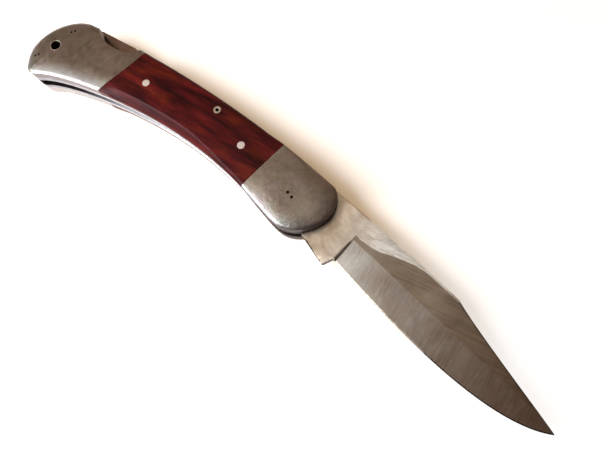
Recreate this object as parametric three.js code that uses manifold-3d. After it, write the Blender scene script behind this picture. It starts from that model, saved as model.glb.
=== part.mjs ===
// A lock-back folding knife, open and lying on its side.
// Millimetres. X runs from the butt to the tip, Y from the belly to the spine, Z is the thickness.
// The origin is on the pivot's axis, in the plane of the lower outer faces.
import * as THREE from 'three';
import { mergeVertices } from 'three/addons/utils/BufferGeometryUtils.js';
import Module from 'manifold-3d';

// Thickness stack
const sideThickness = 3.8;
const linerThickness = 1.6;
const bladeThickness = 3.0;
const bladeClearance = 0.1;
const springNarrowing = 0.2;

// Clearances
const pinClearance = 0.06;
const pivotClearance = 0.12;
const seamGap = 0.04;
const lockSeamGap = 0.16;
const springGap = 0.25;
const tailGap = 0.4;
const tipGap = 0.5;
const kickGap = 0.3;

// Blade outline, measured from the pivot
const tipX = 100.2;
const tipY = -12.75;
const tipHalfHeight = 0.05;
const clipStartX = 60.0;
const clipStartY = 3.35;
const ricassoEndX = 22.6;
const edgeStartY = -8.2;
const kickX = 19.9;
const kickY = -11.4;
const kickRoundX = 0.7;
const kickEndRise = 0.2;
const kickToeRise = 0.21;
const tangLowX = 9.7;
const tangLowY = -7.7;
const tangRadius = 7.4;
const tangRoundEndX = 4.56;
const foldAngle = 171;

// Curve arms of the blade's lines, from their two ends
const bladeSpineBow = [1.5, 1.45];
const clipArms = [[6, -3.25], [-16.2, 6.2]];
const edgeArms = [[24.4, -5.4], [-16.2, -9.4]];
const ridgeArms = [[25.4, -3.7], [-28.2, 5.25]];

// Blade grinds
const ridgeStartY = 1.5;
const ridgeShareAtStart = 0.96;
const ridgeShareAtTip = 0.2;
const edgeHalfThickness = 0.12;
const clipHalfThickness = 0.45;
const swedgeStartX = 31.0;
const swedgeRun = 17.0;
const flatShareAtStart = 0.98;
const flatShareAtEnd = 0.12;
const clipGrindRun = 14.0;
const plungeOverlap = 0.6;

// Lock notch of the tang and tooth of the lock bar
const notchWallX = -3.05;
const notchFloorY = 4.6;
const notchLength = 2.2;
const notchFloorFall = 0.8;
const lugAngle = 143;
const toothLength = 3.2;
const toothTaper = 0.45;
const toothUndercut = 0.2;
const toothClearance = 0.27;

// Handle outline at the front, measured from the pivot
const noseReach = 14.0;
const noseWidestY = 3.2;
const noseTopX = 9.6;
const noseTopY = 10.3;
const noseLowX = 8.6;
const noseLowY = -7.75;
const heelX = 2.2;
const heelY = -10.2;

// Handle outline at the belly and butt, measured from the end of the butt where it says depth
const buttDepth = 12.6;
const buttWidestY = -6.5;
const spineRearDepth = 14.6;
const spineRearY = 11.3;
const buttLowDepth = 3.2;
const buttLowY = -14.6;
const buttToeDepth = 7.6;
const buttToeY = -15.75;
const bellyHighX = -45.0;
const bellyHighY = -3.75;

// Curve arms of the handle outline, from both ends of each stretch
const spineArms = [[-36.9, 4.9], [36.9, 4.2]];
const buttUpperArms = [[-7.2, -0.3], [-0.3, 8.7]];
const buttLowerArms = [[0.1, -3.0], [-1.8, 2.3]];
const buttToeArms = [[1.2, -1.7], [-1.6, -0.75]];
const rearBellyArms = [[9.0, 6.05], [-21.0, 0]];
const frontBellyArms = [[29.0, 0], [-7.5, 0]];
const heelArms = [[2.2, 0], [-1.7, -1.35]];
const noseLowerArms = [[2.8, 2.3], [0.2, -4.6]];
const noseUpperArms = [[-0.25, 2.8], [2.3, -0.35]];
const outlineDivisions = 14;

// Rounding of the outer edges
const edgeDrop = 2.0;
const bolsterEdgeInset = 1.7;
const scaleEdgeInset = 2.6;
const edgeSteps = 4;

// Where the wood meets the bolsters
const rearSeamDepth = 38.8;
const rearSeamBow = -1.5;
const rearSeamLean = -5.5;
const frontSeamX = -11.6;
const frontSeamLean = -3.5;
const seamHeight = 22.0;
const seamTopY = 14.5;

// Thumb notch in the spine of the rear bolsters
const thumbNotchDepth = 26.0;
const thumbNotchY = 13.6;
const thumbNotchHalfLength = 10.0;
const thumbNotchHeight = 5.3;

// Pivot and its two driver holes
const pivotRadius = 2.4;
const pivotThreadRadius = 1.3;
const pivotHeadRadius = 3.3;
const pivotHeadThickness = 1.1;
const pivotDots = { spacing: 2.1, radius: 0.42, angle: -17, depth: 0.6 };

// Rear fasteners and their driver holes
const buttPinRadius = 1.1;
const buttThreadRadius = 0.55;
const buttHeadRadius = 1.7;
const buttHeadThickness = 0.9;
const buttDots = { spacing: 1.42, radius: 0.32, angle: 50, depth: 0.5 };
const buttTopPinDepth = 9.25;
const buttTopPinY = 5.1;
const buttLowPinDepth = 3.95;
const buttLowPinY = -9.6;
const threadClearance = 0.06;
const threadReach = 6.0;

// Scale pins, lock rivet and lanyard tube
const scalePinRadius = 1.3;
const frontPinFromSeam = -12.0;
const frontPinY = 4.5;
const rearPinFromSeam = 8.3;
const rearPinY = 4.2;
const rivetX = -38.5;
const rivetY = 10.1;
const rivetRadius = 1.4;
const rivetBoreRadius = 0.5;
const tubeDepth = 7.3;
const tubeY = -2.8;
const tubeRadius = 2.2;
const tubeWall = 0.45;

// Lock bar
const barRivetUnder = 0.95;
const barTailUnder = 1.95;
const barStepX = -24.3;
const barStepRun = 5.7;
const thumbProud = 1.1;
const thumbTailProud = 0.5;

// Leaf spring and butt spacer
const leafThickness = 1.0;
const leafRootY = 2.0;
const leafRootDepth = 10.0;
const leafBend = 7.6;
const leafReach = 17.6;
const leafSlotClearance = 0.45;
const leafSlotEnd = 0.3;
const leafSlotFlare = 0.3;
const spacerShoulderY = 5.4;
const spacerShoulderRise = 0.9;
const spacerKneeY = -3.2;
const spacerStepX = 1.2;
const spacerHeelDepth = 5.3;
const spacerMidDepth = 8.6;

// Facets
const roundSides = 32;
const bladeStations = 30;
const seamSteps = 6;
const thumbNotchSides = 36;
const lockArcSteps = 4;
const tangSteps = 26;
const spineSteps = 14;
const edgeSamples = 40;
const barSteps = 24;
const leafSteps = 12;
const halvings = 40;

// Places that follow from the sizes above
const tipSwing = Math.hypot(tipX, tipY);
const buttX = -(tipSwing + buttDepth);
const spacerFrontX = -(tipSwing + tipGap);
const barTailX = spacerFrontX + spacerStepX + tailGap;
const rearSeamX = buttX + rearSeamDepth;
const slotWidth = bladeThickness + 2 * bladeClearance;
const springWidth = bladeThickness - springNarrowing;
const slotFloorZ = sideThickness + linerThickness;
const slotRoofZ = slotFloorZ + slotWidth;
const upperSideZ = slotRoofZ + linerThickness;
const topZ = upperSideZ + sideThickness;
const midZ = topZ / 2;
const belowAll = -1;
const aboveAll = topZ + 1;
const farAway = 300;

const buttTopPin = [buttX + buttTopPinDepth, buttTopPinY];
const buttLowPin = [buttX + buttLowPinDepth, buttLowPinY];
const frontPin = [frontSeamX + frontPinFromSeam, frontPinY];
const rearPin = [rearSeamX + rearPinFromSeam, rearPinY];
const rivet = [rivetX, rivetY];
const tube = [buttX + tubeDepth, tubeY];
const pivot = [0, 0];

const wasm = await Module();
wasm.setup();

const v2 = (x, y) => new THREE.Vector2(x, y);
const radians = THREE.MathUtils.degToRad;
const { lerp, smoothstep, clamp } = THREE.MathUtils;

// A closed mesh becomes a solid that can be cut, and the solid a mesh again
function solid(geometry) {
  const bare = geometry.clone();
  bare.deleteAttribute('normal');
  bare.deleteAttribute('uv');
  const merged = mergeVertices(bare, 1e-5);
  const vertProperties = new Float32Array(merged.attributes.position.array);
  const triVerts = new Uint32Array(merged.index.array);
  return new wasm.Manifold(new wasm.Mesh({ numProp: 3, vertProperties, triVerts }));
}

function geometryOf(body) {
  const mesh = body.getMesh();
  const geometry = new THREE.BufferGeometry();
  geometry.setAttribute('position', new THREE.BufferAttribute(new Float32Array(mesh.vertProperties), 3));
  geometry.setIndex(new THREE.BufferAttribute(new Uint32Array(mesh.triVerts), 1));
  return geometry;
}

function meshSolid(positions, index) {
  const geometry = new THREE.BufferGeometry();
  geometry.setAttribute('position', new THREE.Float32BufferAttribute(positions, 3));
  geometry.setIndex(index);
  return solid(geometry);
}

function plate(points, lowZ, highZ) {
  const depth = highZ - lowZ;
  const geometry = new THREE.ExtrudeGeometry(new THREE.Shape(points), { depth, bevelEnabled: false });
  geometry.translate(0, 0, lowZ);
  return solid(geometry);
}

function disc([x, y], radius, lowZ, highZ) {
  const geometry = new THREE.CylinderGeometry(radius, radius, highZ - lowZ, roundSides);
  geometry.rotateX(Math.PI / 2);
  geometry.translate(x, y, (lowZ + highZ) / 2);
  return solid(geometry);
}

function cut(body, tools) {
  return tools.reduce((rest, tool) => rest.subtract(tool), body);
}

// The same piece on the other side of the knife
function mirrored(geometry) {
  const turned = geometry.clone();
  turned.scale(1, 1, -1);
  turned.translate(0, 0, topZ);
  const index = turned.index.array;
  for (let i = 0; i < index.length; i += 3) {
    [index[i], index[i + 1]] = [index[i + 1], index[i]];
  }
  return turned;
}

// Rings of equal length along an axis, joined side by side and closed with the two caps
function stack(rings, startCap, endCap) {
  const count = rings[0].length;
  const index = [];
  for (let level = 0; level + 1 < rings.length; level += 1) {
    for (let i = 0; i < count; i += 1) {
      const a = level * count + i;
      const b = level * count + ((i + 1) % count);
      index.push(a, b, b + count, a, b + count, a + count);
    }
  }
  const last = (rings.length - 1) * count;
  for (const [a, b, c] of startCap) {
    index.push(c, b, a);
  }
  for (const [a, b, c] of endCap) {
    index.push(last + a, last + b, last + c);
  }
  return meshSolid(rings.flat(2), index);
}

// Curves
function bezier(start, end, [leave, arrive]) {
  return new THREE.CubicBezierCurve(
    v2(...start),
    v2(start[0] + leave[0], start[1] + leave[1]),
    v2(end[0] + arrive[0], end[1] + arrive[1]),
    v2(...end),
  );
}

function heightAt(curve, x) {
  const rising = curve.getPoint(1).x > curve.getPoint(0).x;
  let low = 0;
  let high = 1;
  for (let i = 0; i < halvings; i += 1) {
    const middle = (low + high) / 2;
    if ((curve.getPoint(middle).x < x) === rising) {
      low = middle;
    } else {
      high = middle;
    }
  }
  return curve.getPoint((low + high) / 2).y;
}

// Handle outline, anticlockwise from the top of the nose
const noseTop = [noseTopX, noseTopY];
const spineRear = [buttX + spineRearDepth, spineRearY];
const buttEnd = [buttX, buttWidestY];
const buttLow = [buttX + buttLowDepth, buttLowY];
const buttToe = [buttX + buttToeDepth, buttToeY];
const bellyHigh = [bellyHighX, bellyHighY];
const heel = [heelX, heelY];
const noseLow = [noseLowX, noseLowY];
const noseEnd = [noseReach, noseWidestY];
const handleSpine = bezier(noseTop, spineRear, spineArms);

function handleOutline() {
  const stretches = [
    handleSpine,
    bezier(spineRear, buttEnd, buttUpperArms),
    bezier(buttEnd, buttLow, buttLowerArms),
    bezier(buttLow, buttToe, buttToeArms),
    bezier(buttToe, bellyHigh, rearBellyArms),
    bezier(bellyHigh, heel, frontBellyArms),
    bezier(heel, noseLow, heelArms),
    bezier(noseLow, noseEnd, noseLowerArms),
    bezier(noseEnd, noseTop, noseUpperArms),
  ];
  return stretches.flatMap((curve) => curve.getPoints(outlineDivisions).slice(1));
}

// The rounding reaches in from the outline, furthest at the middle of the wood
function edgeInset(x) {
  const along = clamp((x - rearSeamX) / (frontSeamX - rearSeamX), 0, 1);
  return bolsterEdgeInset + (scaleEdgeInset - bolsterEdgeInset) * Math.sin(Math.PI * along) ** 2;
}

function insetRing(outline, share) {
  return outline.map((point, i) => {
    const before = outline.at(i - 1);
    const after = outline[(i + 1) % outline.length];
    const inward = v2(before.y - after.y, after.x - before.x).normalize();
    return point.clone().addScaledVector(inward, share * edgeInset(point.x));
  });
}

// The whole upper side of the handle, flat against the liner and round at its outer edge
function sideSlab() {
  const outline = handleOutline();
  const levels = [{ z: upperSideZ, ring: outline }];
  for (let step = 0; step <= edgeSteps; step += 1) {
    const turn = (Math.PI / 2) * (step / edgeSteps);
    const z = topZ - edgeDrop * (1 - Math.sin(turn));
    levels.push({ z, ring: insetRing(outline, 1 - Math.cos(turn)) });
  }
  const rings = levels.map(({ z, ring }) => ring.map((point) => [point.x, point.y, z]));
  const startCap = THREE.ShapeUtils.triangulateShape(outline, []);
  const endCap = THREE.ShapeUtils.triangulateShape(levels.at(-1).ring, []);
  return stack(rings, startCap, endCap);
}

// Seams between the wood and the bolsters, from the spine down
function rearSeam(shift) {
  const x = rearSeamX + shift;
  const curve = new THREE.QuadraticBezierCurve(
    v2(x, seamTopY),
    v2(x + rearSeamBow, seamTopY - seamHeight / 2),
    v2(x + rearSeamLean, seamTopY - seamHeight),
  );
  const points = curve.getPoints(seamSteps);
  return [v2(x, farAway), ...points, v2(x + rearSeamLean, -farAway)];
}

function frontSeam(shift) {
  const x = frontSeamX + shift;
  const low = v2(x + frontSeamLean, seamTopY - seamHeight);
  return [v2(x, farAway), v2(x, seamTopY), low, v2(low.x, -farAway)];
}

function between(left, right) {
  return plate([...left, ...right.toReversed()], -farAway, farAway);
}

// Holes for what crosses the sides and liners
function fastenerHoles() {
  const holes = [
    [pivot, pivotRadius],
    [buttTopPin, buttPinRadius],
    [buttLowPin, buttPinRadius],
    [frontPin, scalePinRadius],
    [rearPin, scalePinRadius],
    [rivet, rivetRadius],
    [tube, tubeRadius],
  ];
  return holes.map(([place, radius]) => disc(place, radius + pinClearance, belowAll, aboveAll));
}

function headSeats() {
  const seats = [
    [pivot, pivotHeadRadius, pivotHeadThickness],
    [buttTopPin, buttHeadRadius, buttHeadThickness],
    [buttLowPin, buttHeadRadius, buttHeadThickness],
  ];
  return seats.map(([place, radius, depth]) => disc(place, radius + pinClearance, topZ - depth, aboveAll));
}

function thumbNotch() {
  const ellipse = new THREE.EllipseCurve(
    buttX + thumbNotchDepth, thumbNotchY, thumbNotchHalfLength, thumbNotchHeight, 0, 2 * Math.PI,
  );
  return plate(ellipse.getPoints(thumbNotchSides).slice(0, -1), belowAll, aboveAll);
}

function upperSides() {
  const slab = cut(sideSlab(), [...fastenerHoles(), ...headSeats(), thumbNotch()]);
  const rearEnd = [v2(-farAway, farAway), v2(-farAway, -farAway)];
  const frontEnd = [v2(farAway, farAway), v2(farAway, -farAway)];
  return {
    rear_bolster: slab.intersect(between(rearEnd, rearSeam(-seamGap / 2))),
    scale: slab.intersect(between(rearSeam(seamGap / 2), frontSeam(-seamGap / 2))),
    front_bolster: slab.intersect(between(frontSeam(seamGap / 2), frontEnd)),
  };
}

function upperLiner() {
  return cut(plate(handleOutline(), slotRoofZ, upperSideZ), [...fastenerHoles(), thumbNotch()]);
}

// Blade lines
const notchWallTopY = heightAt(handleSpine, notchWallX);
const tip = [tipX, tipY];
const bladeSpine = new THREE.QuadraticBezierCurve(
  v2(notchWallX, notchWallTopY),
  v2((notchWallX + clipStartX) / 2 + bladeSpineBow[0], (notchWallTopY + clipStartY) / 2 + bladeSpineBow[1]),
  v2(clipStartX, clipStartY),
);
const clip = bezier([clipStartX, clipStartY], [tipX, tipY + tipHalfHeight], clipArms);
const cuttingEdge = bezier([ricassoEndX, edgeStartY], [tipX, tipY - tipHalfHeight], edgeArms);
const ridge = bezier([ricassoEndX, ridgeStartY], tip, ridgeArms);

function backAt(x) {
  return heightAt(x < clipStartX ? bladeSpine : clip, x);
}

// Lower limit of the flat that no grind reaches, a narrowing triangle under the spine
function flatAt(x) {
  const back = backAt(x);
  const share = lerp(flatShareAtStart, flatShareAtEnd, smoothstep(x, swedgeStartX, swedgeStartX + swedgeRun));
  return lerp(back, heightAt(ridge, x), share);
}

// Half of a cross-section, from the back over the flat and the ridge to the cutting edge
function bladeSection(x) {
  const half = bladeThickness / 2;
  const taper = smoothstep(x, clipStartX, tipX);
  const clipping = smoothstep(x, clipStartX, clipStartX + clipGrindRun);
  const ridgeHalf = half * lerp(ridgeShareAtStart, ridgeShareAtTip, taper);
  const backHalf = Math.min(lerp(half, clipHalfThickness, clipping), lerp(half, ridgeHalf, clipping));
  const flatHalf = lerp(half, (backHalf + ridgeHalf) / 2, clipping);
  return [
    [backAt(x), backHalf],
    [flatAt(x), flatHalf],
    [heightAt(ridge, x), ridgeHalf],
    [heightAt(cuttingEdge, x), lerp(edgeHalfThickness, edgeHalfThickness / 2, taper)],
  ];
}

function groundBlade() {
  const rings = [];
  for (let i = 0; i <= bladeStations; i += 1) {
    const x = lerp(ricassoEndX - plungeOverlap, tipX, i / bladeStations);
    const section = bladeSection(Math.max(x, ricassoEndX));
    const upper = section.map(([y, z]) => [x, y, midZ + z]);
    const lower = section.map(([y, z]) => [x, y, midZ - z]);
    rings.push([...upper, ...lower.toReversed()]);
  }
  const count = rings[0].length;
  const cap = [];
  for (let i = 0; i + 1 < count / 2; i += 1) {
    cap.push([i, i + 1, count - 2 - i], [i, count - 2 - i, count - 1 - i]);
  }
  return stack(rings, cap, cap);
}

// Points of a circle about a centre between two angles in degrees
function arc([x, y], radius, from, to, steps) {
  const points = [];
  for (let i = 0; i <= steps; i += 1) {
    const angle = radians(lerp(from, to, i / steps));
    points.push(v2(x + radius * Math.cos(angle), y + radius * Math.sin(angle)));
  }
  return points;
}

// The lock bar's front face and the tang's wall are arcs about the lock rivet, so they never rub
function lockArc(radius, lowY, highY) {
  const angleAt = (y) => THREE.MathUtils.radToDeg(Math.asin((y - rivetY) / radius));
  return arc(rivet, radius, angleAt(lowY), angleAt(highY), lockArcSteps);
}

function tangOutline() {
  const wall = lockArc(notchWallX - rivetX, notchFloorY, notchWallTopY).reverse();
  const floorEnd = v2(notchWallX - notchLength, notchFloorY - notchFloorFall);
  const runOut = 360 - 90 + THREE.MathUtils.radToDeg(Math.asin(tangRoundEndX / tangRadius));
  const round = arc(pivot, tangRadius, lugAngle, runOut, tangSteps);
  const spine = bladeSpine.getPoints(spineSteps).filter(({ x }) => x < ricassoEndX && x > notchWallX);
  return [
    ...wall,
    floorEnd,
    ...round,
    v2(tangLowX, tangLowY),
    v2(kickX - kickRoundX, kickY + kickToeRise),
    v2(kickX, kickY),
    v2(kickX + kickRoundX, kickY + kickRoundX),
    v2(ricassoEndX - plungeOverlap, edgeStartY + kickEndRise),
    v2(ricassoEndX, edgeStartY),
    v2(ricassoEndX, backAt(ricassoEndX)),
    ...spine.reverse(),
  ];
}

function blade() {
  const tang = plate(tangOutline(), midZ - bladeThickness / 2, midZ + bladeThickness / 2);
  const whole = tang.add(groundBlade());
  return whole.subtract(disc(pivot, pivotRadius + pivotClearance, belowAll, aboveAll));
}

// A point of the open blade, where it lies when the knife is shut
function folded(x, y) {
  return v2(x, y).rotateAround(v2(0, 0), -radians(foldAngle));
}

// Lock bar outline
const foldedEdgeTop = Math.max(...cuttingEdge.getPoints(edgeSamples).map((point) => folded(point.x, point.y).y));
const barFrontUnderY = folded(kickX, kickY).y + kickGap;
const barRivetUnderY = foldedEdgeTop + barRivetUnder;
const barTailUnderY = foldedEdgeTop + barTailUnder;

function barTopAt(x) {
  const middle = buttX + thumbNotchDepth;
  const rise = smoothstep(-x, -(middle + thumbNotchHalfLength), -(middle + thumbNotchHalfLength / 2));
  const end = smoothstep(-x, -(middle - thumbNotchHalfLength / 2), -barTailX);
  return heightAt(handleSpine, Math.max(x, spineRear[0])) + rise * lerp(thumbProud, thumbTailProud, end);
}

function lockBar() {
  const frontRadius = notchWallX - lockSeamGap - rivetX;
  const frontX = rivetX + frontRadius;
  const toothFrontY = Math.sqrt((tangRadius + toothClearance) ** 2 - frontX ** 2);
  const toothRearX = frontX - toothLength;
  const toothRearY = toothFrontY - toothLength * toothTaper;
  const top = [];
  for (let i = 1; i <= barSteps; i += 1) {
    const x = lerp(frontX, barTailX, i / barSteps);
    top.push(v2(x, barTopAt(x)));
  }
  const outline = [
    ...lockArc(frontRadius, toothFrontY, heightAt(handleSpine, frontX)),
    ...top,
    v2(barTailX, barTailUnderY),
    v2(barStepX - barStepRun, barRivetUnderY),
    v2(barStepX, barFrontUnderY),
    v2(toothRearX - toothUndercut, barFrontUnderY),
    v2(toothRearX, toothRearY),
  ];
  const bar = plate(outline, midZ - bladeThickness / 2, midZ + bladeThickness / 2);
  return bar.subtract(disc(rivet, rivetRadius + pivotClearance, belowAll, aboveAll));
}

// Leaf spring, bowed up from its root in the spacer to the underside of the lock bar's tail
function leafCentre() {
  const rootX = buttX + leafRootDepth;
  const tipLeafX = rootX + leafReach;
  const along = (tipLeafX - barTailX) / (barStepX - barStepRun - barTailX);
  const underY = lerp(barTailUnderY, barRivetUnderY, along);
  const tipLeafY = underY - springGap - leafThickness / 2;
  const curve = new THREE.QuadraticBezierCurve(
    v2(rootX, leafRootY),
    v2(rootX + leafBend, leafRootY + leafThickness / 2),
    v2(tipLeafX, tipLeafY),
  );
  return curve.getPoints(leafSteps);
}

function band(points, halfWidth) {
  const offset = (side) => points.map((point, i) => {
    const before = points[Math.max(i - 1, 0)];
    const after = points[Math.min(i + 1, points.length - 1)];
    const across = v2(before.y - after.y, after.x - before.x).normalize();
    return point.clone().addScaledVector(across, side * halfWidth);
  });
  return [...offset(1), ...offset(-1).reverse()];
}

function lockSpring() {
  return plate(band(leafCentre(), leafThickness / 2), midZ - springWidth / 2, midZ + springWidth / 2);
}

function buttSpacer() {
  const frontX = spacerFrontX;
  const region = [
    v2(frontX + spacerStepX, farAway),
    v2(frontX + spacerStepX, spacerShoulderY + spacerShoulderRise),
    v2(frontX, spacerShoulderY),
    v2(frontX, spacerKneeY),
    v2(buttX + spacerMidDepth, buttLowPinY),
    v2(buttX + spacerHeelDepth, buttToeY - 1),
    v2(-farAway, buttToeY - 1),
    v2(-farAway, farAway),
  ];
  const blank = plate(handleOutline(), slotFloorZ, slotRoofZ);
  const rootX = buttX + leafRootDepth;
  const reach = leafThickness / 2 + leafSlotClearance;
  const slot = plate([
    v2(rootX - leafSlotEnd, leafRootY - reach),
    v2(0, leafRootY - reach),
    v2(0, leafRootY + reach + leafSlotFlare),
    v2(rootX - leafSlotEnd, leafRootY + reach),
  ], belowAll, aboveAll);
  const holes = [
    disc(buttTopPin, buttPinRadius + pinClearance, belowAll, aboveAll),
    disc(buttLowPin, buttPinRadius + pinClearance, belowAll, aboveAll),
    disc(tube, tubeRadius + pinClearance, belowAll, aboveAll),
    slot,
  ];
  return cut(blank.intersect(plate(region, belowAll, aboveAll)), holes);
}

// Two small round holes in a flush head
function driverHoles([x, y], dots, lowZ, highZ) {
  const reach = dots.spacing / 2;
  const angle = radians(dots.angle);
  return [-1, 1].map((side) => {
    const place = [x + side * reach * Math.cos(angle), y + side * reach * Math.sin(angle)];
    return disc(place, dots.radius, lowZ, highZ);
  });
}

function barrel(place, radius, headRadius, headThickness, threadRadius, dots) {
  const low = headThickness + seamGap;
  const body = disc(place, headRadius, topZ - headThickness, topZ).add(disc(place, radius, low, topZ));
  const bore = disc(place, threadRadius + threadClearance, belowAll, headThickness + threadReach + 1);
  return cut(body, [bore, ...driverHoles(place, dots, topZ - dots.depth, aboveAll)]);
}

function screw(place, headRadius, headThickness, threadRadius, dots) {
  const head = disc(place, headRadius, 0, headThickness);
  const body = head.add(disc(place, threadRadius, 0, headThickness + threadReach));
  return cut(body, driverHoles(place, dots, belowAll, dots.depth));
}

function ringTube(place, radius, boreRadius) {
  return disc(place, radius, 0, topZ).subtract(disc(place, boreRadius, belowAll, aboveAll));
}

// Finishes
const finishes = {
  bladeSteel: { color: 0xa39a8c, roughness: 0.32, metalness: 1 },
  bolsterSteel: { color: 0x7d7266, roughness: 0.42, metalness: 1 },
  linerSteel: { color: 0x8f8a86, roughness: 0.45, metalness: 1 },
  springSteel: { color: 0x6f655c, roughness: 0.4, metalness: 1 },
  pinMetal: { color: 0xc9bdb6, roughness: 0.35, metalness: 1 },
  rivetMetal: { color: 0x8d837c, roughness: 0.4, metalness: 1 },
  wood: { color: 0x551a1a, roughness: 0.35, metalness: 0 },
};

const knife = new THREE.Group();

function addMesh(name, geometry, finish) {
  const mesh = new THREE.Mesh(geometry, new THREE.MeshStandardMaterial(finishes[finish]));
  mesh.name = name;
  knife.add(mesh);
}

function addPair(name, body, finish) {
  const geometry = geometryOf(body);
  addMesh(`${name}_upper`, geometry, finish);
  addMesh(`${name}_lower`, mirrored(geometry), finish);
}

function addFastener(name, place, sizes, dots) {
  const [radius, headRadius, headThickness, threadRadius] = sizes;
  const upper = barrel(place, radius, headRadius, headThickness, threadRadius, dots);
  const lower = screw(place, headRadius, headThickness, threadRadius, dots);
  addMesh(`${name}_barrel`, geometryOf(upper), 'bolsterSteel');
  addMesh(`${name}_screw`, geometryOf(lower), 'bolsterSteel');
}

// Blade and lock
addMesh('blade', geometryOf(blade()), 'bladeSteel');
addMesh('lock_bar', geometryOf(lockBar()), 'springSteel');
addMesh('lock_spring', geometryOf(lockSpring()), 'springSteel');
addMesh('butt_spacer', geometryOf(buttSpacer()), 'linerSteel');

// Sides
const sides = upperSides();
addPair('front_bolster', sides.front_bolster, 'bolsterSteel');
addPair('rear_bolster', sides.rear_bolster, 'bolsterSteel');
addPair('scale', sides.scale, 'wood');
addPair('liner', upperLiner(), 'linerSteel');

// Fasteners
const pivotSizes = [pivotRadius, pivotHeadRadius, pivotHeadThickness, pivotThreadRadius];
const buttSizes = [buttPinRadius, buttHeadRadius, buttHeadThickness, buttThreadRadius];
addFastener('pivot', pivot, pivotSizes, pivotDots);
addFastener('butt_top', buttTopPin, buttSizes, buttDots);
addFastener('butt_low', buttLowPin, buttSizes, buttDots);
addPair('scale_pin_front', disc(frontPin, scalePinRadius, slotRoofZ, topZ), 'pinMetal');
addPair('scale_pin_rear', disc(rearPin, scalePinRadius, slotRoofZ, topZ), 'pinMetal');
addMesh('lock_rivet', geometryOf(ringTube(rivet, rivetRadius, rivetBoreRadius)), 'rivetMetal');
addMesh('lanyard_tube', geometryOf(ringTube(tube, tubeRadius, tubeRadius - tubeWall)), 'pinMetal');

export default knife;
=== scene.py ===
import math

import bmesh
import bpy
import numpy as np
from mathutils import Matrix, Vector
from mathutils.geometry import delaunay_2d_cdt
from mathutils.kdtree import KDTree


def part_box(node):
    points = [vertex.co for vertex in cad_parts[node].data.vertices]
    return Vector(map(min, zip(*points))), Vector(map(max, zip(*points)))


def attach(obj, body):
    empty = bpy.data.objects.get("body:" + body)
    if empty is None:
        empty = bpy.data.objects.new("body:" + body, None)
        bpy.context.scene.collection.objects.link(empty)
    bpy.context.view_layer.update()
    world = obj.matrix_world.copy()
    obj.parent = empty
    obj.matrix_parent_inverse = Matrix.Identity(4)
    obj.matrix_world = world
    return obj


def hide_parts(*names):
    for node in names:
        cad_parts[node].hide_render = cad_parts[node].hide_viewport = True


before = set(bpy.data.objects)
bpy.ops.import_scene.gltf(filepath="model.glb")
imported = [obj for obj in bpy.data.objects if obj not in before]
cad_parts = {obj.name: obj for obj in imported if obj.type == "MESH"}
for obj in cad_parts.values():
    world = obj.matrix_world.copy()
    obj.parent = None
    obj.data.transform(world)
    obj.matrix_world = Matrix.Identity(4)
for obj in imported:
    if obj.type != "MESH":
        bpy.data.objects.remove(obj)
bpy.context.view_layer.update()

# A lock-back folding knife, open and lying on its side. Sizes are in millimetres, in the frame's axes:
# X runs to the tip, Y to the spine and Z up through the thickness, from the pivot's lower head.
MM = 0.001
scene = bpy.context.scene


def span(node, axis):
    """Lowest and highest place of a node along an axis, in millimetres"""
    low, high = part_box(node)
    return low[axis] / MM, high[axis] / MM


BUTT_X, NOSE_X = span("liner_upper", 0)
SPINE_HIGH = span("liner_upper", 1)[1]
SIDE_LOW, TOP = span("scale_upper", 2)
LINER_LOW = SIDE_LOW - 1.6
BLADE_LOW, BLADE_HIGH = span("blade", 2)
TIP_X = span("blade", 0)[1]
MID = TOP / 2
HALF_BLADE = (BLADE_HIGH - BLADE_LOW) / 2

# Camera, from the photograph's own perspective
CAMERA_PLACE = (48.871, -27.390, 160.664)
CAMERA_RIGHT = (0.79667, 0.59238, -0.12003)
CAMERA_UP = (-0.55131, 0.79360, 0.25741)
FOCAL_PIXELS = 500.0
PHOTO_WIDTH = 612
SENSOR = 36.0

# Handle outline: each stretch has its start, its end, the curve's arms at both, and how far in from the
# edge the wood's ridge and the bolsters' crown reach at its start, middle and end
NOSE_TOP = (9.6, 10.3)
SPINE_REAR = (BUTT_X + 14.6, 11.3)
BUTT_END = (BUTT_X, -6.5)
BUTT_LOW = (BUTT_X + 3.2, -14.6)
BUTT_TOE = (BUTT_X + 7.6, -15.75)
BELLY_HIGH = (-45.0, -3.75)
HEEL = (2.2, -10.2)
NOSE_LOW = (8.6, -7.75)
NOSE_END = (NOSE_X, 3.2)
STRETCHES = [
    (NOSE_TOP, SPINE_REAR, (-36.9, 4.9), (36.9, 4.2), (1.0, 0.8, 1.0), (2.6, 1.6, 2.2)),
    (SPINE_REAR, BUTT_END, (-7.2, -0.3), (-0.3, 8.7), (1.0, 0.8, 0.7), (2.2, 2.8, 4.0)),
    (BUTT_END, BUTT_LOW, (0.1, -3.0), (-1.8, 2.3), (0.7, 1.5, 2.6), (4.0, 5.0, 6.0)),
    (BUTT_LOW, BUTT_TOE, (1.2, -1.7), (-1.6, -0.75), (2.6, 3.0, 3.4), (6.0, 6.4, 6.8)),
    (BUTT_TOE, BELLY_HIGH, (9.0, 6.05), (-21.0, 0.0), (3.4, 2.9, 2.5), (6.8, 6.6, 5.5)),
    (BELLY_HIGH, HEEL, (29.0, 0.0), (-7.5, 0.0), (2.5, 0.9, 0.9), (5.5, 2.6, 7.0)),
    (HEEL, NOSE_LOW, (2.2, 0.0), (-1.7, -1.35), (0.9, 0.9, 0.9), (7.0, 8.0, 7.4)),
    (NOSE_LOW, NOSE_END, (2.8, 2.3), (0.2, -4.6), (0.9, 0.9, 0.9), (7.4, 5.6, 4.6)),
    (NOSE_END, NOSE_TOP, (-0.25, 2.8), (2.3, -0.35), (0.9, 0.9, 1.0), (4.6, 3.4, 2.4)),
]
OUTLINE_STEP = 0.5

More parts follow.
